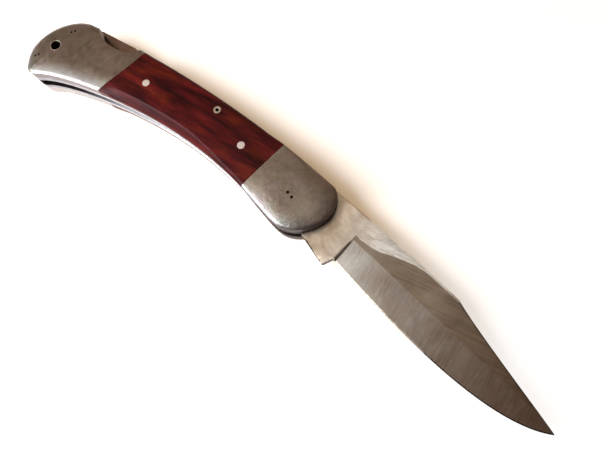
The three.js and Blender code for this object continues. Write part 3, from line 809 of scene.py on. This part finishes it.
def softened(node, width, segments=2):
    """A copy of a node with its sharp edges broken"""
    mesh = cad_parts[node].data.copy()
    mesh.materials.clear()
    bm = bmesh.new()
    bm.from_mesh(mesh)
    bmesh.ops.remove_doubles(bm, verts=bm.verts, dist=1e-6)
    bmesh.ops.dissolve_limit(bm, angle_limit=math.radians(0.5), verts=bm.verts, edges=bm.edges)
    crisp = [edge for edge in bm.edges if edge.calc_face_angle(0) > math.radians(40)]
    round_off = {"offset": width * MM, "segments": segments, "profile": 0.5}
    bmesh.ops.bevel(bm, geom=crisp, affect="EDGES", clamp_overlap=True, **round_off)
    bmesh.ops.triangulate(bm, faces=[face for face in bm.faces if len(face.verts) > 4])
    bm.to_mesh(mesh)
    bm.free()
    mesh.name = node + "_soft"
    mesh.shade_smooth()
    mesh.set_sharp_from_angle(angle=math.radians(35))
    return linked(node + "_soft", mesh)


# Materials
def paint(red, green, blue):
    """A colour written as it looks on a screen, 0 to 255"""
    def linear(value):
        share = value / 255
        return share / 12.92 if share <= 0.04045 else ((share + 0.055) / 1.055) ** 2.4
    return (linear(red), linear(green), linear(blue), 1.0)


CLEAN = (255, 255, 255)
STAINED = (229, 225, 220)
CLOUDED = (224, 213, 205)
GREENISH = (249, 255, 242)
PINKISH = (255, 244, 248)


def node_in(tree, kind, inputs, settings):
    """A new node in a tree, with its inputs set or linked"""
    node = tree.nodes.new("ShaderNode" + kind)
    for key, value in settings.items():
        setattr(node, key, value)
    for key, value in (inputs or {}).items():
        if isinstance(value, bpy.types.NodeSocket):
            tree.links.new(value, node.inputs[key])
        else:
            node.inputs[key].default_value = value
    return node


class Finish:
    """A material whose nodes are added one at a time"""

    def __init__(self, name):
        self.material = bpy.data.materials.new(name)
        self.material.use_nodes = True
        self.tree = self.material.node_tree
        self.tree.nodes.clear()
        self.place = self.add("TexCoord").outputs["Object"]

    def add(self, kind, inputs=None, **settings):
        return node_in(self.tree, kind, inputs, settings)

    def calc(self, how, first, second=0.0):
        return self.add("Math", {0: first, 1: second}, operation=how).outputs[0]

    def noise(self, scale, turn=0.0, detail=2.0, rough=0.5, warp=0.0):
        """Noise with so many features per metre along each axis, after a turn about Z"""
        turned = self.add("Mapping", {"Vector": self.place, "Rotation": (0, 0, math.radians(turn))})
        vector = self.add("Mapping", {"Vector": turned.outputs[0], "Scale": scale}).outputs[0]
        inputs = {"Vector": vector, "Scale": 1.0, "Detail": detail, "Roughness": rough, "Distortion": warp}
        return self.add("TexNoise", inputs).outputs[0]

    def spread(self, value, low, high, from_low=0.3, from_high=0.7):
        """A value's middle range stretched to new limits"""
        inputs = {"Value": value, "From Min": from_low, "From Max": from_high, "To Min": low, "To Max": high}
        return self.add("MapRange", inputs).outputs[0]

    def within(self, axis, window, low=0, high=1):
        """A value that changes between two places along X, Y or Z, given as axis 0, 1 or 2"""
        place = self.add("SeparateXYZ", {0: self.place}).outputs[axis]
        return self.spread(place, low, high, window[0] * MM, window[1] * MM)

    def ramp(self, value, stops):
        """Screen colours along a value, given as (place, colour) pairs"""
        node = self.add("ValToRGB", {"Fac": value})
        elements = node.color_ramp.elements
        while len(elements) < len(stops):
            elements.new(0.5)
        for element, (place, colour) in zip(elements, stops):
            element.position = place
            element.color = paint(*colour)
        return node.outputs[0]

    def between(self, value, first, last, start=0.0, end=1.0):
        """A colour between two screen colours, as a value rises"""
        return self.ramp(value, [(start, first), (end, last)])

    def mix(self, share, first, second, blend="MIX"):
        inputs = {0: share, 6: first, 7: second}
        return self.add("Mix", inputs, data_type="RGBA", blend_type=blend).outputs[2]

    def tinted(self, colour, value, first, last, from_low=0.3, from_high=0.7):
        """A colour times one that changes from the first to the last over a value's middle range"""
        return self.times(colour, self.between(self.spread(value, 0, 1, from_low, from_high), first, last))

    def times(self, colour, tint):
        return self.mix(1.0, colour, tint, "MULTIPLY")

    def bump(self, height, distance, under=None):
        inputs = {"Height": height, "Distance": distance * MM, "Strength": 1.0}
        if under is not None:
            inputs["Normal"] = under
        return self.add("Bump", inputs).outputs[0]

    def finish(self, inputs):
        shader = self.add("BsdfPrincipled", inputs)
        output = self.add("OutputMaterial", {"Surface": shader.outputs[0]})
        output.is_active_output = True
        return self.material

    def metal(self, colour, roughness, normal, share=1.0):
        inputs = {"Base Color": colour, "Metallic": share, "Roughness": roughness, "Normal": normal}
        return self.finish(inputs)


# How far the surface's normal leans to the belly, from where the edge tint, a painted highlight colour, is
# full to where it ends
HIGHLIGHT_TINT_LEAN = (-0.17, -0.05)


def satin_steel(name, dark, light, rough, scuff, lumps=0.0, metal=1.0, edge=(255, 255, 255)):
    """Worn satin metal: mottled, polished across the handle, its highlights broken up by scuffs and dents.

    The edge tint is a painted highlight: a cooler colour where the surface turns down toward the belly.
    """
    f = Finish(name)
    broad = f.spread(f.noise((90, 90, 90), detail=4.0, rough=0.6), 0, 1, 0.2, 0.8)
    fine = f.spread(f.noise((1500, 700, 1500), detail=3.0, rough=0.7), 0.0, 0.4)
    colour = f.mix(fine, f.between(broad, dark, light), paint(*light))
    colour = f.tinted(colour, f.noise((260, 260, 260), detail=2.0), GREENISH, PINKISH)
    stain = f.noise((380, 330, 380), turn=20, detail=4.0, rough=0.7, warp=0.3)
    colour = f.tinted(colour, stain, STAINED, CLEAN)
    lean = f.add("SeparateXYZ", {0: f.add("TexCoord").outputs["Normal"]}).outputs[1]
    # Painted highlight: the edge tint cools the colour where the normal leans down toward the belly
    colour = f.tinted(colour, lean, edge, CLEAN, *HIGHLIGHT_TINT_LEAN)
    roughness = f.spread(f.noise((900, 500, 900), detail=3.0), *rough)
    strokes = f.noise((2600, 330, 2600), turn=8, detail=3.0, rough=0.7)
    dents = f.noise((760, 560, 760), detail=3.0, rough=0.65)
    normal = f.bump(dents, lumps, under=f.bump(strokes, scuff))
    return f.metal(colour, roughness, normal, metal)


# Soiling and painted shade on the liners: where it ends along X and Y, and the distance of their inner faces
# from the middle; and where the liners are painted darker toward the butt
BUTT_DIRT_AND_SHADE = (-92, -50)
TANG_DIRT_AND_SHADE = (-16, -9)
TANG_EDGE_SHADE = (-14, -8)
NOTCH_SHADE_X = (-79, -77)
NOTCH_SHADE_Y = (6, 7)
BUTT_SHADE_SPAN = (-94, -74)
LINER_INNER = (1.62, 1.68)


def liner_steel(name):
    """Bright edges, painted darker toward the butt as shade, and dark soiling with painted shade where the
    plates face each other at the butt, the notch and the tang
    """
    f = Finish(name)
    tone = f.between(f.noise((500, 900, 900), detail=3.0), (166, 168, 176), (196, 198, 206), 0.3, 0.7)
    dirt_and_shade_colour = f.between(f.noise((300, 300, 300), detail=3.0), (22, 18, 18), (46, 38, 36), 0.3, 0.7)
    height = f.add("SeparateXYZ", {0: f.place}).outputs[2]
    from_middle = f.calc("ABSOLUTE", f.calc("SUBTRACT", height, MID * MM))
    facing = f.spread(from_middle, 1, 0, LINER_INNER[0] * MM, LINER_INNER[1] * MM)
    ends = f.calc("MAXIMUM", f.within(0, BUTT_DIRT_AND_SHADE, 1, 0), f.within(0, TANG_DIRT_AND_SHADE))
    notch_shade = f.calc("MULTIPLY", f.within(1, NOTCH_SHADE_Y), f.within(0, NOTCH_SHADE_X, 1, 0))
    grime_and_shade = f.calc("MAXIMUM", f.calc("MULTIPLY", facing, ends), notch_shade)
    grime_and_shade = f.calc("MAXIMUM", grime_and_shade, f.within(0, TANG_EDGE_SHADE))
    # Painted shade: the liners darken toward the butt
    butt_shade = f.between(f.within(0, BUTT_SHADE_SPAN), (216, 216, 222), CLEAN)
    colour = f.mix(grime_and_shade, f.times(tone, butt_shade), dirt_and_shade_colour)
    roughness = f.spread(grime_and_shade, 0.26, 0.6, 0.0, 1.0)
    normal = f.bump(f.noise((400, 3200, 3200), detail=2.0), 0.004)
    return f.metal(colour, roughness, normal)


def brushed_steel(name, dark, light, turn, rough, tip_shade, fade=(30, 92), depth=0.006):
    """Cloudy ground metal, its lines turned some degrees from Y, and painted darker toward the tip over a
    fade as shade
    """
    f = Finish(name)
    broad = f.noise((60, 45, 60), detail=2.0)
    coarse = f.noise((1900, 30, 1900), turn=turn, detail=2.0, rough=0.6)
    fine = f.noise((5200, 90, 5200), turn=turn, detail=2.0, rough=0.6)
    tone = f.calc("ADD", f.spread(coarse, 0, 0.6), f.spread(broad, 0, 0.4))
    colour = f.between(tone, dark, light, 0.1, 0.9)
    colour = f.times(colour, f.between(f.within(0, fade), CLEAN, tip_shade))
    clouds = f.noise((120, 90, 120), turn=25, detail=4.0, rough=0.65, warp=0.4)
    colour = f.tinted(colour, clouds, CLOUDED, CLEAN)
    roughness = f.spread(fine, *rough)
    normal = f.bump(fine, depth, under=f.bump(coarse, depth * 1.5))
    return f.metal(colour, roughness, normal)


# Where along the handle the wood darkens toward the blade, as painted shade
WOOD_DARKENS = (-60, -18)


def streaked_wood(name):
    """Oiled rosewood: dark and orange-red streaks along the handle, fine pores, a soft sheen and painted
    shade toward the blade
    """
    f = Finish(name)
    streak = f.noise((42, 430, 430), turn=-2, detail=5.0, rough=0.65, warp=0.5)
    stops = [(0.0, (40, 15, 15)), (0.36, (70, 22, 20)), (0.66, (96, 24, 24)), (1.0, (116, 34, 28))]
    base = f.ramp(f.spread(streak, 0, 1), stops)
    warm = f.noise((50, 150, 150), turn=-5, detail=3.0, rough=0.6, warp=0.4)
    colour = f.mix(f.spread(warm, 0.0, 0.75, 0.5, 0.72), base, paint(132, 48, 20))
    broad = f.noise((30, 130, 130), turn=-2, detail=3.0, rough=0.6, warp=0.5)
    colour = f.tinted(colour, broad, (150, 140, 145), (255, 250, 245), 0.34, 0.66)
    colour = f.times(colour, f.between(f.within(0, WOOD_DARKENS), CLEAN, (204, 220, 226)))
    pores = f.noise((260, 5200, 5200), turn=-2, detail=2.0, rough=0.6)
    colour = f.mix(f.spread(pores, 0.7, 0.0, 0.3, 0.42), colour, paint(26, 9, 10))
    roughness = f.spread(streak, 0.3, 0.38)
    normal = f.bump(pores, 0.012, under=f.bump(streak, 0.008))
    inputs = {"Base Color": colour, "Roughness": roughness, "Normal": normal, "Specular IOR Level": 0.1}
    inputs["Specular Tint"] = (1.0, 0.73, 0.85, 1)
    return f.finish(inputs)


# Where along the blade the smoky ricasso gives way to polished steel, painted paler as a highlight
FLAT_POLISH_AND_HIGHLIGHT = (17, 31)


def blade_flats(name):
    """Unground steel: a stained, smoky ricasso, and a paler stretch with scratches along the back, polished
    and brightened as a painted highlight
    """
    f = Finish(name)
    along = f.noise((70, 2600, 2600), turn=-3, detail=3.0, rough=0.7)
    across = f.noise((1300, 120, 1300), turn=12, detail=3.0, rough=0.65)
    stain = f.noise((150, 190, 190), turn=30, detail=4.0, rough=0.65, warp=0.3)
    smears = f.noise((240, 620, 400), turn=-18, detail=4.0, rough=0.7, warp=0.4)
    # Painted highlight: the polished stretch is painted paler
    polished = f.within(0, FLAT_POLISH_AND_HIGHLIGHT)
    smoky = f.between(f.spread(stain, 0, 1), (186, 168, 146), (240, 229, 213))
    worn = f.calc("ADD", f.spread(along, 0, 0.4), f.spread(smears, 0, 0.6))
    pale = f.between(worn, (196, 192, 184), (254, 254, 252), 0.2, 0.8)
    colour = f.mix(polished, smoky, pale)
    roughness = f.spread(stain, 0.3, 0.42)
    normal = f.bump(f.calc("MULTIPLY", along, polished), 0.022, under=f.bump(across, 0.008))
    return f.metal(colour, roughness, normal)


def painted_hole_shade(name):
    """Painted shade for the dark inside of a hole, faintly mottled"""
    f = Finish(name)
    hole_shade_tone = f.between(f.noise((700, 700, 700), detail=3.0), (14, 12, 12), (30, 26, 24), 0.3, 0.7)
    return f.finish({"Base Color": hole_shade_tone, "Roughness": 0.8})


# The bolsters' edge tints are painted highlight colours
STEEL_REAR = satin_steel(
    "rear_bolster_satin", (121, 113, 107), (160, 152, 145), (0.28, 0.35), 0.012, 0.03, edge=(212, 226, 242))
STEEL_FRONT = satin_steel(
    "front_bolster_satin", (124, 116, 109), (170, 162, 155), (0.30, 0.37), 0.02, 0.08, edge=(222, 236, 254))
# Painted shade: darker copies of the satin steel for the notch's wall and the butt's lower rim, for the
# nose's walls and the heel's rim, and for the butt's walls, paler on the lower side
NOTCH_WALL_SHADE = satin_steel("notch_wall_painted_shade", (84, 68, 60), (112, 94, 84), (0.42, 0.55), 0.01)
NOSE_WALL_SHADE = satin_steel("nose_wall_painted_shade", (66, 62, 66), (92, 88, 92), (0.42, 0.55), 0.01)
UPPER_BUTT_WALL_SHADE = satin_steel("butt_wall", (132, 128, 136), (160, 156, 164), (0.4, 0.5), 0.01)
LOWER_BUTT_WALL_SHADE = satin_steel("butt_wall_lower", (184, 184, 190), (212, 212, 218), (0.4, 0.5), 0.01)
STEEL_LINER = liner_steel("liner_satin")
STEEL_PIN = satin_steel("pin_satin", (188, 178, 174), (208, 198, 194), (0.4, 0.5), 0.006, metal=0.3)
STEEL_RIVET = satin_steel("rivet_satin", (206, 198, 192), (232, 226, 220), (0.28, 0.36), 0.006)
STEEL_BAR = satin_steel("lock_bar_satin", (128, 106, 96), (158, 136, 122), (0.34, 0.46), 0.012)
STEEL_SPACER = satin_steel("spacer_satin", (46, 42, 42), (66, 60, 58), (0.4, 0.55), 0.012)
STEEL_SPRING = satin_steel("spring_satin", (84, 78, 82), (112, 106, 110), (0.35, 0.5), 0.01)
HOLE_SHADE = painted_hole_shade("hole_painted_shade")
WOOD = streaked_wood("rosewood")
BLADE_FINISHES = [
    blade_flats("blade_flat"),
    # The grinds' last colours are painted shade toward the tip
    brushed_steel("blade_lower_grind", (145, 143, 137), (171, 169, 164), -6, (0.32, 0.4), (226, 202, 190)),
    brushed_steel("blade_upper_grind", (130, 122, 111), (166, 156, 143), 80, (0.34, 0.44), (240, 226, 214)),
    # Painted shade: the keen edge turns near black toward the tip
    brushed_steel(
        "blade_keen_edge_painted_shade", (176, 170, 164), (196, 190, 184), -6, (0.3, 0.4), (70, 65, 72), (34, 52), 0.002),
    # Worn edge, brightened as a painted highlight
    satin_steel("blade_worn_edge_and_highlight", (206, 202, 196), (255, 255, 252), (0.4, 0.5), 0.01, metal=0.3),
    # Painted shade on the ricasso's wall
    satin_steel("blade_wall_painted_shade", (50, 45, 46), (72, 66, 66), (0.4, 0.5), 0.01),
]


def dress(piece, body, nodes, slot, *materials):
    """Fixes a piece to its body, hides the nodes that it stands for, and gives it its finish"""
    for material in materials:
        piece.data.materials.append(material)
    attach(piece, body)
    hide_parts(*nodes)


# Handle
for node, piece in side_pieces().items():
    if node.startswith("scale"):
        dress(piece, "handle", [node], "scale_wood", WOOD)
    elif node.startswith("front"):
        dress(piece, "handle", [node], "bolster_steel", STEEL_FRONT, NOTCH_WALL_SHADE, NOSE_WALL_SHADE)
    else:
        wall = UPPER_BUTT_WALL_SHADE if node.endswith("upper") else LOWER_BUTT_WALL_SHADE
        dress(piece, "handle", [node], "bolster_steel", STEEL_REAR, NOTCH_WALL_SHADE, wall)

for node in ("liner_upper", "liner_lower"):
    dress(softened(node, LINER_SOFT, 3), "handle", [node], "liner_steel", STEEL_LINER)
dress(softened("butt_spacer", THIN_SOFT), "handle", ["butt_spacer"], "liner_steel", STEEL_SPACER)

# Lock
bar = softened("lock_bar", BAR_SOFT, 3)
for vert in bar.data.vertices:
    x, y = vert.co.x / MM, vert.co.y / MM
    rise = BAR_RISE * smooth(-x, *BAR_RISES) + BAR_TAIL_RISE * smooth(-x, *BAR_TAIL_RISES)
    vert.co.y += rise * smooth(y, *BAR_BACK) * MM
dress(bar, "lock_bar", ["lock_bar"], "spring_steel", STEEL_BAR)
dress(softened("lock_spring", THIN_SOFT), "lock_spring", ["lock_spring"], "spring_steel", STEEL_SPRING)

# Blade
dress(blade_piece(), "blade", ["blade"], "blade_steel", *BLADE_FINISHES)

# Fasteners: where each is, its head's radius and depth, its driver holes, its barrel and its thread
BUTT_HALVES = (BUTT_HEAD, BUTT_HEAD_DEPTH, BUTT_DOTS, BUTT_BARREL, BUTT_THREAD)
FASTENERS = [
    ("pivot", STEEL_FRONT, PIVOT, PIVOT_HEAD, PIVOT_HEAD_DEPTH, PIVOT_DOTS, PIVOT_BARREL, PIVOT_THREAD),
    ("butt_top", STEEL_REAR, BUTT_TOP_PIN, *BUTT_HALVES),
    ("butt_low", STEEL_REAR, BUTT_LOW_PIN, *BUTT_HALVES),
]
for name, finish, place, radius, depth, dots, barrel, thread in FASTENERS:
    head = fastener_half(place, radius, depth, dots, barrel)
    foot = flipped(*fastener_half(place, radius, depth, dots, thread))
    for piece, shape, node in (("_cap", head, "_barrel"), ("_base", foot, "_screw")):
        made = object_from(name + piece, *shape)
        dress(made, "handle", [name + node], "bolster_steel", finish, HOLE_SHADE)

for node, place in (("scale_pin_front", FRONT_PIN), ("scale_pin_rear", REAR_PIN)):
    upper = turned(place, pin_profile(PIN_RADIUS, LINER_LOW, surface_at(place), PIN_DOME))
    for piece, shape, side in (("_dome", upper, "_upper"), ("_dome_lower", flipped(*upper), "_lower")):
        dress(object_from(node + piece, *shape), "handle", [node + side], "pin_metal", STEEL_PIN)

# Rings, with their radius and bore, the round of their rims and their points round the axis
RINGS = [
    ("rivet_ring", "lock_rivet", "rivet_metal", RIVET, RIVET_RADIUS, RIVET_BORE, 0.12, 64),
    ("lanyard_ring", "lanyard_tube", "pin_metal", TUBE, TUBE_RADIUS, TUBE_BORE, 0.1, 72),
]
for name, node, slot, place, radius, bore, soft, count in RINGS:
    end = surface_at(place)
    ring = turned(place, tube_profile(radius, bore, TOP - end, end, soft), count)
    dress(object_from(name, *ring), "handle", [node], slot, STEEL_RIVET, HOLE_SHADE)


# Stage
FLOOR_REACH = 1200.0
FLOOR_DROP = 0.02
# Painted light: between these places along X the floor glows white, up to this share, hiding the blade's
# shadow
SHADOW_FADES = (20, 85)
SHADOW_FADE = 0.8

# Lamps: the way they lie, their height in degrees, their distance and size in metres and their power
KEY_LAMP = ((-0.70, -0.71), 47, 0.8, 0.5, 9.2)
SIDE_LAMP = ((-0.92, -0.38), 14, 1.0, 0.7, 1.0)

ROOM_DIM = (0.11, 0.08, 0.066, 1)
ROOM_MIDDLE = (0.42, 0.29, 0.20, 1)
ROOM_LEFT = (0.30, 0.18, 0.105, 1)
ROOM_OVERHEAD = (0.72, 0.68, 0.62, 1)
ROOM_PALE = (1.0, 1.0, 1.0, 1)


def world_light():
    """A dim brown room with a pale wall low on the left, and white from the horizon down"""
    world = bpy.data.worlds.new("room")
    scene.world = world
    world.use_nodes = True
    world.node_tree.nodes.clear()

    def add(kind, inputs=None, **settings):
        return node_in(world.node_tree, kind, inputs, settings)

    def share(direction, toward, low, high):
        """0 to 1 as a direction turns toward another"""
        dot = add("VectorMath", {0: direction, 1: toward}, operation="DOT_PRODUCT").outputs["Value"]
        inputs = {"Value": dot, "From Min": low, "From Max": high}
        return add("MapRange", inputs, interpolation_type="SMOOTHSTEP").outputs[0]

    def blend(amount, first, second):
        return add("Mix", {0: amount, 6: first, 7: second}, data_type="RGBA").outputs[2]

    direction = add("TexCoord").outputs["Generated"]
    rightward = blend(share(direction, (-1, 0, 0), -0.65, 0.3), ROOM_DIM, ROOM_MIDDLE)
    around = blend(share(direction, (-1, 0, 0), 0.35, 0.8), rightward, ROOM_LEFT)
    overhead = blend(share(direction, (-0.05, 0.2, 0.98), 0.94, 0.995), around, ROOM_OVERHEAD)
    low_down = share(direction, (0, 0, -1), -0.55, -0.2)
    leftward = share(direction, (-0.95, -0.31, 0), -0.1, 0.6)
    both = add("Math", {0: low_down, 1: leftward}, operation="MULTIPLY").outputs[0]
    above = blend(both, overhead, ROOM_PALE)
    horizon = share(direction, (0, 0, -1), -0.16, -0.05)
    room = add("Background", {"Color": blend(horizon, above, ROOM_PALE), "Strength": 1.0})
    add("OutputWorld", {"Surface": room.outputs[0]})


def floor_material():
    """White where it is open, warm in the object's shadow; toward the blade's tip it glows white as painted
    light, which hides that shadow
    """
    f = Finish("floor_white")
    plain = f.add("BsdfDiffuse", {"Color": (0.8, 0.8, 0.8, 1)})
    tinted = f.add("BsdfDiffuse", {"Color": (0.93, 0.93, 0.95, 1)})
    glow = f.add("Emission", {"Color": (0.23, 0.148, 0.055, 1), "Strength": 1.0})
    shown = f.add("AddShader", {0: tinted.outputs[0], 1: glow.outputs[0]})
    white = f.add("Emission", {"Color": (1.0, 1.0, 1.0, 1), "Strength": 1.06})
    painted_glow_share = f.within(0, SHADOW_FADES, 0, SHADOW_FADE)
    shown = f.add("MixShader", {0: painted_glow_share, 1: shown.outputs[0], 2: white.outputs[0]})
    path = f.add("LightPath").outputs
    seen = f.calc("MAXIMUM", path["Is Camera Ray"], path["Is Glossy Ray"])
    seen = f.calc("MAXIMUM", seen, path["Is Transmission Ray"])
    mixed = f.add("MixShader", {0: seen, 1: plain.outputs[0], 2: shown.outputs[0]})
    f.add("OutputMaterial", {"Surface": mixed.outputs[0]})
    return f.material


def stage_floor():
    """A plain pale floor under the knife"""
    corners = np.array([(-1, -1, 0), (1, -1, 0), (1, 1, 0), (-1, 1, 0)]) * FLOOR_REACH
    floor = object_from("floor", corners, [(0, 1, 2, 3)], [0])
    floor.data.materials.append(floor_material())
    floor.location = (0, 0, -FLOOR_DROP * MM)


def area_lamp(name, toward, height, distance, size, power):
    """A soft square white lamp that faces the knife"""
    data = bpy.data.lights.new(name, "AREA")
    data.shape = "SQUARE"
    data.size = size
    data.energy = power
    lamp = linked(name, data)
    rise = math.radians(height)
    flat = Vector((toward[0], toward[1], 0)).normalized() * math.cos(rise)
    place = Vector((flat.x, flat.y, math.sin(rise))) * distance
    lamp.location = place
    lamp.rotation_euler = (-place).to_track_quat("-Z", "Y").to_euler()


def photo_camera():
    """The photograph's own viewpoint"""
    data = bpy.data.cameras.new("photo_camera")
    data.sensor_fit = "HORIZONTAL"
    data.sensor_width = SENSOR
    data.lens = FOCAL_PIXELS / PHOTO_WIDTH * SENSOR
    data.clip_start = 0.005
    right, up = Vector(CAMERA_RIGHT).normalized(), Vector(CAMERA_UP).normalized()
    back = right.cross(up)
    turn = Matrix((right, up, back)).transposed().to_4x4()
    camera = linked("photo_camera", data)
    camera.matrix_world = Matrix.Translation(Vector(CAMERA_PLACE) * MM) @ turn
    scene.camera = camera


world_light()
stage_floor()
area_lamp("key", *KEY_LAMP)
area_lamp("side", *SIDE_LAMP)
photo_camera()
scene.view_settings.view_transform = "Standard"
